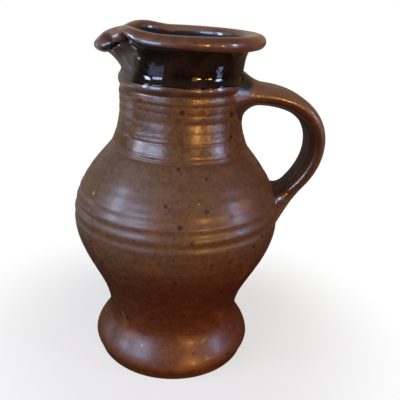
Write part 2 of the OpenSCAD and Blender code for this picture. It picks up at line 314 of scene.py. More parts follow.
def thrown_r(z):
    """Radius of the outside at a height, before ridges and lines."""
    if z < slab_top:
        return mix(base_r, foot_r, ramp(z, 0, slab_top) ** base_sweep)
    if z < waist_z:
        return mix(foot_r, waist_r, half_wave(ramp(z, slab_top, waist_z) ** foot_sweep))
    if z < widest_z:
        return mix(waist_r, belly_r, half_wave(ramp(z, waist_z, widest_z)))
    if z < neck_line_z:
        quarter = math.pi / 2 * ramp(z, widest_z, neck_line_z) ** shoulder_sweep
        return mix(neck_line_r, belly_r, math.cos(quarter))
    flare_top = neck_line_z + flare_share * (groove_z - neck_line_z)
    return mix(neck_r, neck_line_r, (1 - ramp(z, neck_line_z, flare_top)) ** neck_sweep)


def inside_r(z):
    """Radius of the inside, a wall's thickness in, square to the slope."""
    slope = thrown_r(z + probe) - thrown_r(z - probe)
    return thrown_r(z) - wall * math.hypot(1, slope / (2 * probe))


def foot_edge(z):
    """How far the worn edge at the ground draws in."""
    return soft_edge * (1 - math.sqrt(1 - (1 - ramp(z, 0, soft_edge)) ** 2))


print("radii at the joints", [round(thrown_r(z), 1) for z in joints[:5]])

# %% [markdown]
# ## Marks of the fingers
# While the pot turns, the fingers climb slowly, so the groove that they leave on the shoulder is
# one spiral that rises by a pitch each turn and grows fainter as it rises. The lines at the neck
# were cut with a stick held still, so they are level. Between them lie fine rings a few hundredths
# of a millimetre deep. All are real relief that the light can catch.

# %% Finger spiral and cut lines
# The spiral's path is its height in pitches and its depth in finger depths, a turn apart.
finger_path = [(-0.4, 0), (0.6, 1), (1.63, 0.9), (2.57, 0.75), (3.4, 0.2), (4.1, 0.3), (5.0, 0)]
finger_half = 0.48 * finger_pitch
# Each line on the neck is its height above the neck line, its depth and half of its width.
neck_lines = [
    (0, 0.7, line_half), (3, 0.4, line_half), (11.5, 0.35, line_half),
    (24.5, 0.22, 3.5), (31, 0.12, 2.5), (36.5, 0.25, line_half),
]
bevel_line = (0.5, 1.2)
groove_line = (0.7, line_half)
band_below_groove = 4.5
band_swell = (0.35, 3.5)
ring_pitch = 3.4
ring_depth = 0.01
neck_ring_depth = 0.03
ring_drift = 5
faint_depth = 0.08
# How far above the neck line and below the groove the neck's rings have their whole depth.
neck_rings_clear = (8, 5)


def banded(p, wide, tall, offset=0):
    """Noise from -1 to 1 whose patches are wide round the jug and tall in height, in millimetres."""
    return noise.noise(Vector((p.x / wide, p.y / wide, p.z / tall + offset)))


def cut_line(z, at, depth, half):
    """A rounded groove at a height."""
    return -depth * half_wave(1 - abs(z - at) / half) if abs(z - at) < half else 0.0


def fingers(z, turn):
    """The spiral groove at a height and a share of a turn from the front."""
    total = 0.0
    for k in range(len(finger_path)):
        start = math.floor(k + turn)
        if 0 <= start < len(finger_path) - 1:
            (h0, d0), (h1, d1) = finger_path[start:start + 2]
            at = widest_z + finger_pitch * mix(h0, h1, k + turn - start)
            total += cut_line(z, at, finger_depth * mix(d0, d1, k + turn - start), finger_half)
    return total


def relief(point):
    """Everything that the fingers and the stick left on the outside."""
    z = point.z
    lines = cut_line(z, slab_top, *bevel_line) + cut_line(z, groove_z, *groove_line)
    for above_line, depth, half in neck_lines:
        lines += cut_line(z, neck_line_z + above_line, depth, half)
    lines -= cut_line(z, groove_z - band_below_groove, *band_swell)
    on_neck = ramp(z, neck_line_z, neck_line_z + neck_rings_clear[0])
    on_neck *= ramp(z, groove_z, groove_z - neck_rings_clear[1])
    faint = banded(point, wide=40, tall=4, offset=7)
    drift = ring_drift * banded(point, wide=60, tall=9)
    rings = math.sin(2 * math.pi * z / ring_pitch + drift) * (0.6 + faint)
    fine = (ring_depth + neck_ring_depth * on_neck) * rings + faint_depth * faint
    turn = math.atan2(point.x, -point.y) / (2 * math.pi)
    return lines + fingers(z, turn) + fine * ramp(z, slab_top, waist_z)


print("finger groove from", widest_z + finger_pitch * finger_path[1][0], "mm up, pitch", finger_pitch)

# %% [markdown]
# ## Spinning the body
# Spin turns an edge chain round an axis, which is just what the wheel does. The chain goes from the
# middle of the base up the outside to the groove under the collar, and back down the inside. A
# merge joins the last step to the first and closes both poles. Then every point is pushed by a
# slow noise of a fraction of a millimetre, because no thrown wall is perfectly round.

# %% Spin helper
slow_mm = 55
slow_sway = 0.45
twist_sway = 0.16


def steps_between(low, high, step):
    """Even values from low to high, no further apart than step."""
    count = max(1, math.ceil((high - low) / step))
    return [mix(low, high, i / count) for i in range(count + 1)]


def wander(point):
    """The uneven part of a hand-thrown wall, in millimetres outwards."""
    return slow_sway * noise.noise(point / slow_mm) + twist_sway * banded(point, wide=30, tall=7)


def on_the_wheel(bm, points, edges, turns):
    """Spins a chain of points and edges once round Z, in that many steps."""
    bmesh.ops.spin(
        bm, geom=points + edges, cent=(0, 0, 0), axis=(0, 0, 1),
        angle=2 * math.pi, steps=turns, use_merge=True,
    )
    bmesh.ops.remove_doubles(bm, verts=bm.verts, dist=0.001)


def spun(name, chain, turns=256):
    """A mesh object spun round Z from a chain of (radius, height) in millimetres."""
    bm = bmesh.new()
    points = [bm.verts.new((r, 0, z)) for r, z in chain]
    edges = [bm.edges.new(pair) for pair in zip(points, points[1:])]
    on_the_wheel(bm, points, edges, turns)
    bmesh.ops.recalc_face_normals(bm, faces=bm.faces)
    return finished(name, bm)


def finished(name, bm):
    """The mesh in metres, shaded smooth, as an object that rides on the jug."""
    bmesh.ops.scale(bm, vec=(MM, MM, MM), verts=bm.verts)
    mesh = bpy.data.meshes.new(name)
    bm.to_mesh(mesh)
    bm.free()
    mesh.shade_smooth()
    made = bpy.data.objects.new(name, mesh)
    scene.collection.objects.link(made)
    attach(made, "root")
    return made


def push_out(thing, shift):
    """Moves each point of an object outwards by shift(point) millimetres, points in millimetres."""
    for v in thing.data.vertices:
        p = v.co / MM
        flat = Vector((p.x, p.y, 0))
        if flat.length > 1:
            v.co += flat.normalized() * shift(p) * MM


# %% Body
# The rings lie closest on the neck, where the cut lines are, and far apart on the smooth inside.
ground_radii = (0, 20, 40, 56)
floor_radii = (40, 20, 0)
steady_below = 4
edge_heights = [0, 0.1, 0.3, 0.55]
outside_heights = edge_heights + steps_between(soft_edge, slab_top, 1.0)
outside_heights += steps_between(slab_top, waist_z, 1.1)[1:]
outside_heights += steps_between(waist_z, neck_line_z, 0.95)[1:]
outside_heights += steps_between(neck_line_z, groove_z, 0.65)[1:]
inside_heights = steps_between(slab_top, groove_z, 3.4)
chain = [(r, 0) for r in ground_radii]
chain += [(thrown_r(z) - foot_edge(z), z) for z in outside_heights]
chain += [(inside_r(z), z) for z in reversed(inside_heights)]
chain += [(r, slab_top) for r in floor_radii]
body = spun("thrown_body", chain)
push_out(body, lambda p: wander(p) * ramp(p.z, 0, steady_below))
push_out(body, lambda p: relief(p) if math.hypot(p.x, p.y) > thrown_r(p.z) - wall / 3 else 0)
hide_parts("base", "foot", "belly", "shoulder", "neck")
print(body.name, len(chain), "rings,", len(body.data.polygons), "faces")

# %% [markdown]
# ## Rim and spout
# The collar and the rolled rim are thrown too. While the clay was soft the potter pulled the lip
# out and down with one finger and pinched the flanks between two others, which lifted them. The
# fingertips left a hollow under each side of the lip, a web of clay like a column below it, and a
# fold that runs from the pinch down under the roll, with a small dimple beside it. So the section
# differs at each angle. The outline is spun once as a plain ring, in which each point knows its
# place along the outline, and then each point goes to its place in the section at its own angle.

# %% Collar
step_r = 45.2
collar_r = 42.8
step_share = 0.28
groove_share = 0.41
hollow_sweep = 1.2
collar_heights = steps_between(groove_z, hollow_z, 0.55)


def collar_curve(z):
    """Radius of the collar's clay: out over the glossy step and back to the hollow."""
    u = ramp(z, groove_z, hollow_z)
    if u < step_share:
        share = mix(groove_share, 1, math.sin(math.pi / 2 * u / step_share))
    else:
        share = half_wave((1 - u) / (1 - step_share)) ** hollow_sweep
    return mix(collar_r - glaze_t, step_r, share)


print("collar from", groove_z, "to", round(hollow_z, 1))

# %% Movements of the hand
# Each movement is the angle from the lip at its middle and half of the angle that it takes. An
# angle is positive on the camera's side. Each depth under it is a pair too: how far below the
# crest its middle lies, and half of its height.
lip = (0, 40)
chin = (0, 24)
jaw = (13, 12)
pinch = (34, 15)
press = (22, 11)
press_below = (7.2, 5.4)
dimple = (43, 7)
dimple_below = (6.5, 4.0)
web = (30, 12)
column = (25, 12)
column_below = (12.0, 5.0)
lean = (64, 30)
squeeze = (45, 12)
near_flank = (33, 42)
far_flank = (55, 27)
spout_reach = 5.2
spout_drop = 8.0
pinch_depth = 2.6
near_rise = 3.0
far_rise = 2.6
press_depth = 5.8
column_out = 3.6
droop = 2.4
dimple_depth = 2.0
chin_share = 0.16
jaw_share = 0.24
squeeze_share = 0.35
# The fold: the angles over which it swells, fades, slides down and narrows, how far it stands out,
# and its depth and half height at its start and its end.
fold_swells = (27, 34)
fold_fades = (36, 62)
fold_slides = (31, 54)
fold_narrows = (34, 62)
fade_sweep = 1.3
slide_sweep = 0.6
fold_out = 2.6
fold_below = (6.5, 14.0)
fold_half = (6.0, 3.5)


def swing(place, movement):
    """1 at the middle of a movement, 0 outside it."""
    away = abs(place - movement[0]) / movement[1]
    return half_wave(1 - away) if away < 1 else 0.0


print("lip pulled", spout_reach, "mm out and", spout_drop, "mm down")

# %% Section of the rim
rim_r = 56.3
rim_w = 11.2
rim_h = 9.6
roll_x = rim_r - rim_w / 2
roll_start = -110
roll_end = 180
throat_r = inside_r(groove_z)
hollow = Vector((collar_r - glaze_t, hollow_z))
throat = Vector((throat_r - glaze_t, hollow_z))
bend_steps = 16
bend_shares = [i / bend_steps for i in range(1, bend_steps + 1)]
roll_steps = 48
pull_from = hollow_z - 4.7
# How far the bend under the roll is filled out, and the angles over which the lip's part of it ends.
round_fill = 0.14
lip_fill = 0.66
web_fill = 0.92
lip_fill_ends = (16, 46)


def bend(a, b, c, share):
    """A point on the smooth bend from a to c that leans towards b."""
    return mix(mix(a, b, share), mix(b, c, share), share)


def roll_height(angle):
    """Height of the roll: deeper at the chin, thinner where it starts beside the fold."""
    deeper = chin_share * swing(angle, chin) + jaw_share * swing(abs(angle), jaw)
    return rim_h * (1 + deeper - squeeze_share * swing(abs(angle), squeeze))


def on_roll(degrees, height):
    """A point on the oval section of the rolled rim."""
    a = math.radians(degrees)
    return Vector((roll_x + math.cos(a) * rim_w / 2, crest_z - height / 2 + math.sin(a) * height / 2))


def under_the_roll(angle, share):
    """A point of the bend from the hollow to the roll, filled out below the spout."""
    under = on_roll(roll_start, roll_height(angle))
    away = abs(angle)
    filled = mix(lip_fill, round_fill, smooth(ramp(away, *lip_fill_ends)))
    filled = max(filled, web_fill * swing(away, web))
    return bend(hollow, Vector((mix(hollow.x, under.x, filled), under.y)), under, share)


def fold_line(z, angle):
    """The fold that runs from the pinch down under the roll, fading out as it goes."""
    away = abs(angle)
    out = smooth(ramp(away, *fold_swells)) * (1 - ramp(away, *fold_fades)) ** fade_sweep
    below = mix(*fold_below, ramp(away, *fold_slides) ** slide_sweep)
    half = mix(*fold_half, ramp(away, *fold_narrows))
    return fold_out * out * swing(crest_z - z, (below, half))


def pulled(point, facing, angle):
    """A point of a section, moved as the fingers moved the clay. Facing is 1 on the outside."""
    r, z = point
    away = abs(angle)
    lift = smooth(ramp(z, pull_from, crest_z - rim_h / 4))
    dents = press_depth * swing(away, press) * swing(crest_z - z, press_below)
    dents += dimple_depth * swing(away, dimple) * swing(crest_z - z, dimple_below)
    dents -= column_out * swing(away, column) * swing(crest_z - z, column_below)
    dents -= fold_line(z, angle)
    r += lift * (spout_reach * swing(angle, lip) - pinch_depth * swing(away, pinch)) - facing * dents
    r += droop * swing(away, lean) * (ramp(crest_z - z, 0, rim_h) - 0.5) * facing
    rise = near_rise * swing(angle, near_flank) + far_rise * swing(-angle, far_flank)
    return Vector((r, z + lift * (rise - spout_drop * swing(angle, lip))))


print("roll", rim_w, "mm wide and", rim_h, "mm high, crest at", crest_z)

# %% [markdown]
# ## Where the glaze breaks thin
# An iron glaze is black where it lies thick and brown where it breaks thin over an edge, so each
# point of the rim also carries a number that its material reads: 1 where the glaze is thin, 0
# where it is thick, and less where it is thick and matt down the throat. In the hollow under the
# lip the number is pushed below 0 as well, which paints shade there, dark and matt. The crown of
# the roll and the whole spout are thin. On the near side the dark glaze reaches up the roll, and
# further round it stays below.

# %% Glaze on the rim
collar_thin = 0.7
spout_thin = 0.8
throat_thin = -0.6
# The angles over which the bare spout gives way to dark glaze, on the near and the far side.
near_dark = (34, 46)
far_dark = (45, 70)
# The dark edge on the roll, in degrees of its section: beside the spout, at the back, and how it
# moves from one to the other with the angle.
edge_beside_spout = -8
edge_at_back = -88
edge_moves = (58, 150)
edge_sweep = 1.2
edge_blur = 14
inner_side = 120
# Inside the roll, how far below the crest the glaze is thick and matt, and how far it is thin.
matt_below_crest = 5.6
thin_below_crest = 3.2
# The matt shade under the lip: its depth, its spread past the press, where it climbs, and its place
# The painted shade in the hollow under the lip, dark and matt: its depth, its spread past the press,
# where it climbs, and its place on the roll.
shade_depth = 1.7
shade_spread = 3
shade_climbs = (0.35, 0.85)
shade_on_roll = (-65, 75)
throat_bend = (0.7, 0.65)


def spout_bare(angle):
    """How thin the glaze lies at an angle: 1 over the spout, 0 round the rest of the collar."""
    away = ramp(angle, *near_dark) if angle > 0 else ramp(-angle, *far_dark)
    return 1 - smooth(away)


def painted_hollow_shade(angle, share):
    """How deep the painted shade lies in the hollow under the lip, dark and matt, a share of the way up
    the bend.
    """
    shade = swing(abs(angle), (press[0], press[1] + shade_spread))
    return shade_depth * shade * ramp(share, *shade_climbs)


def throat_bare(z):
    """How thin the glaze lies inside the roll: it thickens to the dark liner a few millimetres down."""
    return mix(throat_thin, 1, smooth(ramp(z, crest_z - matt_below_crest, crest_z - thin_below_crest)))


def roll_bare(angle, degrees, height):
    """How thin the glaze lies on the roll, at an angle round the jug and one round its section, less
    under the lip, where shade is painted.
    """
    if degrees > inner_side:
        return throat_bare(on_roll(degrees, height).y)
    edge = mix(edge_beside_spout, edge_at_back, ramp(abs(angle), *edge_moves) ** edge_sweep)
    bare = max(smooth(ramp(degrees, edge - edge_blur, edge + edge_blur)), spout_bare(angle))
    # The painted shade under the lip darkens the roll there.
    return bare - painted_hollow_shade(angle, 1) * swing(degrees, shade_on_roll)


def rim_section(angle):
    """The outline of the collar and rim at an angle, as points and how thin the glaze lies there, less
    where shade is painted under the lip.
    """
    points = [(Vector((collar_curve(z), z)), 1, collar_thin) for z in collar_heights]
    for share in bend_shares:
        # In the hollow under the lip, painted shade lowers the number below the glaze's own.
        thin = spout_thin * spout_bare(angle) - painted_hollow_shade(angle, share)
        points.append((under_the_roll(angle, share), 1, thin))
    height = roll_height(angle)
    for i in range(1, roll_steps + 1):
        d = mix(roll_start, roll_end, i / roll_steps)
        facing = 1 - smooth(ramp(d, 0, 90))
        points.append((on_roll(d, height), facing, roll_bare(angle, d, height)))
    inner = on_roll(roll_end, height)
    across, up = throat_bend
    inner_bend = Vector((mix(throat.x, inner.x, across), mix(throat.y, inner.y, up)))
    for share in bend_shares:
        p = bend(inner, inner_bend, throat, share)
        points.append((p, 0, throat_bare(p.y)))
    for z in reversed(steps_between(groove_z, hollow_z - 0.2, 3)):
        points.append((Vector((throat_r, z)), 0, throat_thin))
    return [(pulled(p, facing, angle), thin) for p, facing, thin in points]


print("rim section", len(rim_section(180)), "points")


# %% Rim
def shaped_ring(name, section, turns):
    """A closed section spun round Z, with each point then moved to the section at its own angle."""
    bm = bmesh.new()
    place = bm.verts.layers.int.new("place")
    points = [bm.verts.new((p.x, 0, p.y)) for p, thin in section(180)]
    for i, v in enumerate(points):
        v[place] = i
    edges = [bm.edges.new(pair) for pair in zip(points, points[1:] + points[:1])]
    on_the_wheel(bm, points, edges, turns)
    thin_layer = bm.verts.layers.float.new("thin")
    sections = {}
    for v in bm.verts:
        angle = round(math.degrees(math.atan2(-v.co.y, -v.co.x)), 3)
        if angle not in sections:
            sections[angle] = section(angle)
        p, thin = sections[angle][v[place]]
        a = math.radians(angle)
        v.co = Vector((-math.cos(a) * p.x, -math.sin(a) * p.x, p.y))
        v[thin_layer] = thin
    bmesh.ops.recalc_face_normals(bm, faces=bm.faces)
    return finished(name, bm)


rim = shaped_ring("collar_and_rim", rim_section, 360)
push_out(rim, wander)
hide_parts("collar", "rim")
print(rim.name, len(rim.data.polygons), "faces")

# %% [markdown]
# ## Glaze coats
# The dark glaze is a coat about half a millimetre thick. It ends in a soft roll just above the
# glossy step, where the melted glaze stopped running, and that edge is never level, so the
# coat's lower points are moved up and down by a slow noise. The liner inside is a second coat,
# from the floor of the jug up to the throat.

# %% Dark coat on the collar
coat_from = mix(groove_z, hollow_z, 0.46)
coat_heights = steps_between(coat_from, hollow_z, 0.5)
coat_sink = 0.4
soft_end = (0.6, 0.35)
end_rise = 4
edge_wave = 1.1
waves_per_metre = 38


def coat_section(angle):
    """The coat's outline: over the collar and under the roll, and back inside the clay."""
    bare = spout_bare(angle)
    outer = [(Vector((collar_curve(z) + glaze_t, z)), bare) for z in coat_heights]
    inner = [(Vector((collar_curve(z) - coat_sink, z)), bare) for z in coat_heights]
    for share in bend_shares:
        p = under_the_roll(angle, share)
        # The painted shade in the hollow under the lip darkens the coat there too.
        thin = bare - painted_hollow_shade(angle, share)
        outer.append((p + Vector((glaze_t, -0.2)) * (1 - share), thin))
        inner.append((p - Vector((coat_sink, 0)), thin))
    edge = Vector((collar_curve(coat_from) + glaze_t * soft_end[0], coat_from - soft_end[1]))
    return [(pulled(p, 1, angle), thin) for p, thin in outer + inner[::-1] + [(edge, bare)]]


coat_piece = shaped_ring("dark_glaze_coat", coat_section, 360)
for v in coat_piece.data.vertices:
    low = 1 - smooth(ramp(v.co.z / MM, coat_from, coat_from + end_rise))
    v.co.z += low * noise.noise(Vector((v.co.x, v.co.y, 0)) * waves_per_metre) * edge_wave * MM
push_out(coat_piece, wander)
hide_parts("collar_glaze")
print(coat_piece.name, len(coat_piece.data.polygons), "faces")

# %% Liner coat inside
corner_rise = 2.5
corner_in = 3
steady_rise = 6
liner_heights = steps_between(slab_top + corner_rise, groove_z, 3)
chain = [(0, slab_top)] + [(inside_r(z), z) for z in liner_heights] + [(throat_r, hollow_z)]
chain += [(throat_r - glaze_t, hollow_z)]
chain += [(inside_r(z) - glaze_t, z) for z in reversed(liner_heights)]
chain += [(inside_r(slab_top) - corner_in, slab_top + glaze_t), (0, slab_top + glaze_t)]
liner = spun("liner_glaze_coat", chain, turns=160)
push_out(liner, lambda p: wander(p) * ramp(p.z, slab_top, slab_top + steady_rise))
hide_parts("liner_glaze")
print(liner.name, len(liner.data.polygons), "faces")

# %% [markdown]
# ## The handle
# A handle is pulled from a lump of clay with a wet hand, so its section is a flattened oval with a
# thumb groove along the back and low ridges along the inner side, widest at the root. Its middle
# line is two smooth curves that meet at the outermost point. Each station along that line is a
# circle shaped into the section, and the rings are bridged. Near the pot the section spreads,
# because the potter wipes clay from the joint onto the wall with a finger: round and close under
# the root, long and thin elsewhere. Its sides bend back to hug the round wall.

# %% Handle's middle line
root_t = 15.5
tail_t = 11.5
root_w = 42.0
tail_w = 24.0
thumb_groove = 1.2
ridge_h = 0.35
wipe = 12.0
root_below_groove = 3.5
tail_above_widest = 13.5
handle_reach = 31
root_z = groove_z - root_below_groove
tail_z = widest_z + tail_above_widest
strap_mid_x = belly_r + handle_reach - (root_t + tail_t) / 4
outermost_share = 0.55
outermost = Vector((strap_mid_x, mix(tail_z, root_z, outermost_share)))
bury = wall * 2 / 3
root_rise = 7
tail_rise = 46
# How far each curve runs straight on from its ends, as shares of the handle's reach and height.
root_run = 0.68
top_run = 0.63
bottom_run = 0.58
tail_run = 0.12


def direction(degrees):
    """A unit step at that angle above level, away from the pot."""
    return Vector((math.cos(math.radians(degrees)), math.sin(math.radians(degrees))))


root_end = Vector((thrown_r(root_z) - bury, root_z))
tail_end = Vector((thrown_r(tail_z), tail_z)) - direction(tail_rise) * bury
upper = [
    root_end, root_end + root_run * (strap_mid_x - root_end.x) * direction(root_rise),
    outermost + Vector((0, top_run * (root_z - outermost.y))), outermost,
]
lower = [
    outermost, outermost - Vector((0, bottom_run * (outermost.y - tail_z))),
    tail_end + tail_run * (root_z - tail_z) * direction(tail_rise), tail_end,
]


def middle(s):
    """A point of the middle line: 0 at the root, a half at the outermost point, 1 at the tail."""
    part, u = (upper, 2 * s) if s < 0.5 else (lower, 2 * s - 1)
    return mix(bend(*part[:3], u), bend(*part[1:], u), u)


print("outermost point of the middle line", [round(v, 1) for v in outermost])

# %% Section of the strap
wall_probe = 0.65
line_probe = 0.0025
squareness = 0.85
# How far the wiped clay reaches and how much of that it spreads, at the root and at the tail.
back_reach = (1.5, 2.1)
back_spread = (0.45, 0.65)
under_spread = (1.0, 0.5)
side_spread = 0.6
hug_reach = 1.2
ridge_sides = (0.25, 0.6)


def up_the_wall(z):
    """Unit step up along the pot's outside, as (radius, height)."""
    lean_out = (thrown_r(z + wall_probe) - thrown_r(z - wall_probe)) / (2 * wall_probe)
    return Vector((lean_out, 1)).normalized()


def sag(z, y):
    """How far the round wall falls back at a distance y to the side."""
    return thrown_r(z) - math.sqrt(thrown_r(z) ** 2 - y * y)


def fillet(clear, reach):
    """A round fillet that meets the wall along it: 1 at the wall, 0 at its reach."""
    return 1 - math.sqrt(1 - (1 - ramp(clear, 0, reach)) ** 2)


def strap_point(s, degrees):
    """A point of the strap's skin. Near the wall it spreads along it and hugs its round form."""
    m = middle(s)
    d = (middle(min(1, s + line_probe)) - middle(max(0, s - line_probe))).normalized()
    out = Vector((-d.y, d.x))
    c, t = math.cos(math.radians(degrees)), math.sin(math.radians(degrees))
    side = math.copysign(abs(c) ** squareness, c)
    rise = math.copysign(abs(t) ** squareness, t)
    y = side * mix(root_w, tail_w, s) / 2
    dish = thumb_groove * (1 - side * side) ** 2 if rise > 0 else 0
    ridges = ridge_h * math.cos(4 * math.pi * side) * ramp(-t, *ridge_sides)
    p = m + out * (rise * mix(root_t, tail_t, s) / 2 - dish - ridges)
    hug = 1 - smooth(ramp(m.x - thrown_r(m.y), 0, hug_reach * wipe))
    clear = math.hypot(p.x - hug * sag(p.y, y), y) - thrown_r(p.y)
    if rise > 0:
        reach = wipe * mix(*back_reach, s)
        spread = reach * (1 - ramp(clear, 0, reach)) ** 2 * mix(*back_spread, s)
    else:
        spread = wipe * mix(*under_spread, s) * fillet(clear, wipe)
    way = up_the_wall(p.y)
    along = p.y + way.y * spread * t * math.copysign(1, out.dot(way))
    p = Vector((p.x + thrown_r(along) - thrown_r(p.y), along))
    y += side_spread * wipe * (1 - ramp(clear, 0, wipe)) ** 2 * c
    return Vector((p.x - hug * sag(p.y, y), y, p.y))


print("strap from", root_w, "by", root_t, "to", tail_w, "by", tail_t, "mm")

# %% Handle skin
# The stations crowd towards both ends, where the fillets bend. Each point also carries how it
# faces, from -1 on the inner side of the strap to 1 on its back.
stations = 150
around = 56
crowding = 0.7
bm = bmesh.new()
facing_layer = bm.verts.layers.float.new("facing")
rings = []
for k in range(stations + 1):
    ring = bmesh.ops.create_circle(bm, segments=around, radius=1)["verts"]
    s = mix(k / stations, half_wave(k / stations), crowding)
    for i, v in enumerate(ring):
        v.co = strap_point(s, 360 * i / around)
        v[facing_layer] = math.sin(2 * math.pi * i / around)
    rings.append(ring)
bm.verts.index_update()
for ring, following in zip(rings, rings[1:]):
    edges = {e for v in ring + following for e in v.link_edges if len(e.link_faces) < 2}
    edges = [e for e in edges if (e.verts[0] in ring) == (e.verts[1] in ring)]
    bmesh.ops.bridge_loops(bm, edges=edges)
for ring in (rings[0], rings[-1]):
    for i in range(around // 2):
        rung = {ring[i], ring[i + 1], ring[-i - 1], ring[-i]}
        bmesh.ops.contextual_create(bm, geom=list(rung))
bmesh.ops.recalc_face_normals(bm, faces=bm.faces)
handle = finished("pulled_handle", bm)
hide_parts("handle_root", "handle", "handle_tail")
print(handle.name, len(handle.data.polygons), "faces")

# %% [markdown]
# ## Stoneware
# Salt-glazed stoneware is a brown clay fired until it is dense, with a thin skin of glass that
# forms on it in the kiln. To the eye it is satin, glossier on the neck, and mottled from grey tan
# above to red brown below, and the grey above is in part a painted sheen on the upper wall. Dark
# iron specks reach four millimetres, most are far finer, and a few pale lime ones lie between them.
# Each pattern is a noise whose scale is one over its real size in millimetres, and colours are laid
# over one another from the broadest to the finest.


# %% Patterns
def millimetres(tree):
    """Object coordinates in millimetres, so that a pattern's scale is one over its size."""
    where = add(tree, "TexCoord", output="Object")
    return add(tree, "VectorMath", {0: where, "Scale": 1 / MM}, operation="SCALE")


def overlay(tree, tone, hex_value, pattern, low, high, strength=1.0):
    """The tone with a colour laid over it where a pattern goes from low to high."""
    share = add(tree, "MapRange", [pattern, low, high, 0.0, strength], **EASED)
    return add(tree, "Mix", {0: share, 6: tone, 7: colour(hex_value)}, **COLOURS)


def specks(tree, tone, hex_value, where, cell_mm, largest_mm, ragged_mm, strength):
    """The tone with ragged specks, one in each cell, from nothing up to the largest radius."""
    bent = add(tree, "TexNoise", {"Vector": where, "Scale": 0.9, "Detail": 2.0}, "Color")
    moved = add(tree, "VectorMath", [bent, [ragged_mm] * 3, where], operation="MULTIPLY_ADD")
    cells = add(tree, "TexVoronoi", {"Vector": moved, "Scale": 1 / cell_mm}, "Color")
    luck = add(tree, "SeparateColor", [cells])
    radius = add(tree, "MapRange", [luck, 0.35, 1.0, 0.0, largest_mm / cell_mm], **EASED)
    over = add(tree, "Math", [radius, cells.node.outputs["Distance"]], operation="SUBTRACT")
    return overlay(tree, tone, hex_value, over, 0.0, 0.25 * largest_mm / cell_mm, strength)


print("one speck in each cell")

# %% Stoneware colours
# Thrown stoneware with a salt glaze: to the eye a dense, warm, satin brown. The real orange peel is
# under a millimetre across, and is drawn a little coarser so that it shows.
patch_mm = 34
blot_mm = 21
streak_mm = 4.2
streak_stretch = (0.07, 0.07, 1.0)
grain_mm = 3.2
peel_mm = 1.2
red_to_tan_mm = (86, 132)
foot_clay_mm = (45, 22)
patch_drift_mm = 26
stoneware, tree = new_material("salt_glazed_stoneware")
mm = millimetres(tree)
drawn = add(tree, "VectorMath", [mm, streak_stretch], operation="MULTIPLY")
height = add(tree, "SeparateXYZ", [mm], "Z")
patches = add(tree, "TexNoise", {"Vector": mm, "Scale": 1 / patch_mm, "Detail": 4, "Roughness": 0.55})
blots = add(tree, "TexNoise", {"Vector": mm, "Scale": 1 / blot_mm, "Detail": 2, "Roughness": 0.55})
streaks = add(tree, "TexNoise", {"Vector": drawn, "Scale": 1 / streak_mm, "Detail": 4, "Roughness": 0.6})
grain = add(tree, "TexNoise", {"Vector": mm, "Scale": 1 / grain_mm, "Detail": 5, "Roughness": 0.65})
peel = add(tree, "TexNoise", {"Vector": mm, "Scale": 1 / peel_mm, "Detail": 2, "Roughness": 0.55})
cloudy = add(tree, "Math", [patches, patch_drift_mm, height], operation="MULTIPLY_ADD")
# Grey tan above and red brown below; the grey in the upper tone is in part a painted sheen on the upper
# wall.
upper_tone = overlay(tree, colour("#4d3420"), "#644529", grain, 0.3, 0.7)
lower_tone = overlay(tree, colour("#471f08"), "#5c2b0e", grain, 0.3, 0.7)
foot_tone = overlay(tree, colour("#4f260a"), "#663513", grain, 0.3, 0.7)
up_high = add(tree, "MapRange", [cloudy, *red_to_tan_mm], **EASED)
down_low = add(tree, "MapRange", [height, *foot_clay_mm], **EASED)
tone = add(tree, "Mix", {0: up_high, 6: lower_tone, 7: upper_tone}, **COLOURS)
tone = add(tree, "Mix", {0: down_low, 6: tone, 7: foot_tone}, **COLOURS)
tone = overlay(tree, tone, "#3b1f10", streaks, 0.42, 0.72, 0.25)
tone = overlay(tree, tone, "#874d22", blots, 0.55, 0.75, 0.4)
# The lime specks' cells are moved aside, so that they don't line up with the iron ones.
aside = add(tree, "VectorMath", [mm, (40, 0, 0)])
tone = specks(tree, tone, "#a5794a", aside, cell_mm=19, largest_mm=1.6, ragged_mm=0.8, strength=0.8)
tone = specks(tree, tone, "#1c1411", mm, cell_mm=8.6, largest_mm=2.1, ragged_mm=1.8, strength=0.9)
tone = specks(tree, tone, "#241711", mm, cell_mm=4.2, largest_mm=0.95, ragged_mm=0.3, strength=0.75)
print(stoneware.name, len(tree.nodes), "nodes for its colours")

# %% Stoneware surface
# The salt skin has a fine orange peel, deeper on the neck, where the skin is also glassier.
bump_mm = 0.22
peel_depth = add(tree, "MapRange", [height, neck_line_z - 4, neck_line_z + 8, 0.4, 0.75], **EASED)
skin_relief = add(tree, "Math", [peel, peel_depth], operation="MULTIPLY")
skin_relief = add(tree, "Math", [streaks, 0.55, skin_relief], operation="MULTIPLY_ADD")
skin_relief = add(tree, "Math", [grain, 0.35, skin_relief], operation="MULTIPLY_ADD")
dents = add(tree, "Bump", {"Height": skin_relief, "Distance": bump_mm * MM})
satin = add(tree, "MapRange", [grain, 0.25, 0.75, 0.22, 0.34], **EASED)
duller = add(tree, "MapRange", [height, neck_line_z - 6, neck_line_z + 6, 0.19, 0.0], **EASED)
gloss = add(tree, "Math", [satin, duller])
skin = {
    "Base Color": tone, "Roughness": gloss, "IOR": 1.5, "Normal": dents,
    "Coat Weight": 0.25, "Coat Roughness": 0.24,
}
dress(body, stoneware, add(tree, "BsdfPrincipled", skin))

# %% [markdown]
# ## Glossy glazes
# The collar's glaze is an iron glaze, dense black glass where it pooled. It is glassy, so its
# roughness is low and its relief is only a slow waviness. Where its coat lies thin, over the
# spout, it turns to a satin grey brown: the brown of glaze broken thin, with a painted grey sheen in
# it. In the hollow under the lip it stays dark and goes matt, which is painted shade. The liner
# inside is the same glaze, a little greener and duller. One function makes both, as only colour and
# gloss differ. The rim shows the glaze broken to a red brown with a clear coat of glass over it,
# palest on the far side and at both ends, where a pale sheen is painted into its colour.

# %% Dark glaze and liner
# Poured iron glaze: to the eye black glass with sharp, bright windows in it.
pool_mm = 16
ripple_mm = 2.4
glaze_bump_mm = 0.6


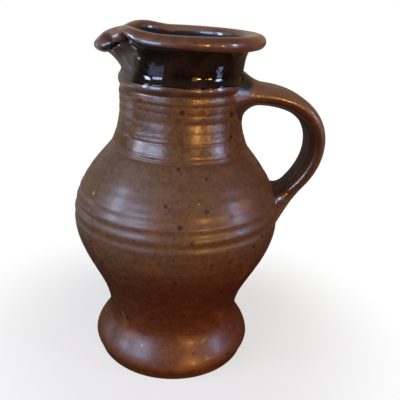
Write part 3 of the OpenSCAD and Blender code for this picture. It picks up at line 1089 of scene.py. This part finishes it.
def iron_glaze(piece, name, thick, thin, breaks, roughness):
    """Lays a glassy glaze on a piece, from its thick colour to its thin one in slow patches."""
    made, tree = new_material(name)
    mm = millimetres(tree)
    slow = add(tree, "TexNoise", {"Vector": mm, "Scale": 1 / pool_mm, "Detail": 3, "Roughness": 0.55})
    fine = add(tree, "TexNoise", {"Vector": mm, "Scale": 1 / ripple_mm, "Detail": 3, "Roughness": 0.55})
    patchy = add(tree, "Math", [fine, 0.3, slow], operation="MULTIPLY_ADD")
    tone = overlay(tree, colour(thick), thin, patchy, *breaks)
    # Where the coat is thin it turns grey brown: the brown of glaze broken thin, with a painted grey
    # sheen. Below 0, in the hollow under the lip, it keeps its thick colour and goes matt: painted
    # shade.
    bare = add(tree, "Attribute", output="Fac", attribute_name="thin")
    thin_glaze_and_sheen = add(tree, "Math", [bare, 0.85], operation="MULTIPLY")
    tone = add(tree, "Mix", {0: thin_glaze_and_sheen, 6: tone, 7: colour("#4f4035")}, **COLOURS)
    waves = add(tree, "Math", [fine, 0.12, slow], operation="MULTIPLY_ADD")
    dents = add(tree, "Bump", {"Height": waves, "Distance": glaze_bump_mm * MM})
    satin = add(tree, "MapRange", [bare, 0.2, 0.9, roughness, 0.36], **EASED)
    matt = add(tree, "MapRange", [bare, -0.5, -0.1, 0.6, 0.0], **EASED)
    gloss = add(tree, "Math", [satin, matt])
    skin = {"Base Color": tone, "Roughness": gloss, "IOR": 1.55, "Normal": dents}
    dress(piece, made, add(tree, "BsdfPrincipled", skin))


iron_glaze(coat_piece, "iron_glaze_thick", "#120b09", "#2a1d14", (0.5, 0.85), roughness=0.07)
iron_glaze(liner, "liner_glaze_dark", "#1b1712", "#28241d", (0.45, 0.8), roughness=0.4)

# %% Broken glaze on the rim
# Iron glaze broken thin over the roll: to the eye a red brown under clear glass, with a pale sheen
# painted in at both sides and at the back.
rim_patch_mm = 14
rim_fine_mm = 2.2
rim_bump_mm = 0.5
painted_sheen_mm = (26, 54)
rim_glaze, tree = new_material("iron_glaze_broken")
mm = millimetres(tree)
thin = add(tree, "Attribute", output="Fac", attribute_name="thin")
slow = add(tree, "TexNoise", {"Vector": mm, "Scale": 1 / rim_patch_mm, "Detail": 4, "Roughness": 0.55})
fine = add(tree, "TexNoise", {"Vector": mm, "Scale": 1 / rim_fine_mm, "Detail": 4, "Roughness": 0.55})
tone = overlay(tree, colour("#4b2b1b"), "#603d2a", slow, 0.35, 0.65)
tone = overlay(tree, tone, "#3c2012", fine, 0.55, 0.75, 0.35)
# A pale sheen is painted in where the roll lies far to the side or at the back; the front keeps the red
# brown.
to_the_side = add(tree, "Math", [add(tree, "SeparateXYZ", [mm], "X")], operation="ABSOLUTE")
away = add(tree, "Math", [to_the_side, add(tree, "SeparateXYZ", [mm], "Y")], operation="MAXIMUM")
tone = overlay(tree, tone, "#80604e", away, *painted_sheen_mm, 0.8)
# Below 0, in the hollow under the lip, the colour goes to the black of thick glaze and the glass goes
# matt: painted shade.
brown = add(tree, "MapRange", [thin, 0.0, 1.0], **EASED)
tone = add(tree, "Mix", {0: brown, 6: colour("#170f0c"), 7: tone}, **COLOURS)
satin = add(tree, "MapRange", [slow, 0.3, 0.7, 0.34, 0.5], **EASED)
matt = add(tree, "MapRange", [thin, -0.6, -0.1, 0.45, 0.0], **EASED)
gloss = add(tree, "Math", [satin, matt])
glass = add(tree, "MapRange", [thin, -0.5, -0.05, 0.0, 0.75], **EASED)
waves = add(tree, "Math", [fine, 0.2, slow], operation="MULTIPLY_ADD")
dents = add(tree, "Bump", {"Height": waves, "Distance": rim_bump_mm * MM})
skin = {
    "Base Color": tone, "Roughness": gloss, "IOR": 1.55, "Normal": dents,
    "Coat Weight": glass, "Coat Roughness": 0.07,
}
dress(rim, rim_glaze, add(tree, "BsdfPrincipled", skin))

# %% [markdown]
# ## The handle's skin
# The strap is the same stoneware, wetter from the pulling hand, so it is smoother and browner, with
# faint marks that run along it. Its back is duller and painted a paler tan, a painted sheen, and its
# inner side, which faces the wall, is painted dark as shade. The dark glaze was poured over the
# collar and ran a little way onto the top of the root.

# %% Handle material
# Pulled stoneware: to the eye a smooth, wet brown, duller along its back, where a paler tan is
# painted in as sheen. The run of glaze ends at a distance from the jug's axis that a slow noise moves.
mark_mm = 3.2
mark_stretch = (0.1, 1.0, 0.1)
strap_patch_mm = 22
fine_grain_mm = 2.6
strap_bump_mm = 0.5
run_ends_mm = (57, 53)
run_drift_mm = 9
strap_skin, tree = new_material("pulled_stoneware")
mm = millimetres(tree)
facing = add(tree, "Attribute", output="Fac", attribute_name="facing")
drawn = add(tree, "VectorMath", [mm, mark_stretch], operation="MULTIPLY")
marks = add(tree, "TexNoise", {"Vector": drawn, "Scale": 1 / mark_mm, "Detail": 4, "Roughness": 0.55})
slow = add(tree, "TexNoise", {"Vector": mm, "Scale": 1 / strap_patch_mm, "Detail": 3, "Roughness": 0.55})
grain = add(tree, "TexNoise", {"Vector": mm, "Scale": 1 / fine_grain_mm, "Detail": 5, "Roughness": 0.55})
tone = overlay(tree, colour("#3f2212"), "#54301a", slow, 0.35, 0.65)
tone = overlay(tree, tone, "#77522f", marks, 0.5, 0.72, 0.5)
# The back is painted a paler tan: a painted sheen on the strap's outer face.
tone = overlay(tree, tone, "#83664f", facing, 0.0, 0.5, 0.55)
height = add(tree, "SeparateXYZ", [mm], "Z")
flat = add(tree, "VectorMath", [mm, (1, 1, 0)], operation="MULTIPLY")
radius = add(tree, "VectorMath", [flat], "Value", operation="LENGTH")
reach = add(tree, "Math", [slow, run_drift_mm, radius], operation="MULTIPLY_ADD")
close = add(tree, "MapRange", [reach, *run_ends_mm], **EASED)
high = add(tree, "MapRange", [height, groove_z - 1, groove_z + 1], **EASED)
run = add(tree, "Math", [close, high], operation="MULTIPLY")
tone = add(tree, "Mix", {0: run, 6: tone, 7: colour("#17110e")}, **COLOURS)
tone = overlay(tree, tone, "#38200f", grain, 0.55, 0.8, 0.3)
tone = specks(tree, tone, "#241812", mm, cell_mm=12, largest_mm=0.9, ragged_mm=0.5, strength=0.7)
# The inner side, which faces the wall, is painted dark: painted shade between strap and pot.
tone = overlay(tree, tone, "#2f1b10", facing, -0.45, -0.95, 0.8)
outer_coat = add(tree, "MapRange", [facing, -0.1, 0.3, 0.9, 0.2], **EASED)
inner_coat = add(tree, "MapRange", [facing, -0.72, -0.92, 1.0, 0.0], **EASED)
coat = add(tree, "Math", [inner_coat, outer_coat], operation="MULTIPLY")
satin = add(tree, "MapRange", [grain, 0.3, 0.7, 0.26, 0.4], **EASED)
dull_back = add(tree, "MapRange", [facing, -0.1, 0.3, 0.0, 0.1], **EASED)
dull_inside = add(tree, "MapRange", [facing, -0.72, -0.95, 0.0, 0.3], **EASED)
gloss = add(tree, "Math", [add(tree, "Math", [satin, dull_back]), dull_inside])
skin_relief = add(tree, "Math", [grain, 0.3, marks], operation="MULTIPLY_ADD")
dents = add(tree, "Bump", {"Height": skin_relief, "Distance": strap_bump_mm * MM})
skin = {
    "Base Color": tone, "Roughness": gloss, "IOR": 1.52, "Normal": dents,
    "Coat Weight": coat, "Coat Roughness": 0.16,
}
dress(handle, strap_skin, add(tree, "BsdfPrincipled", skin))
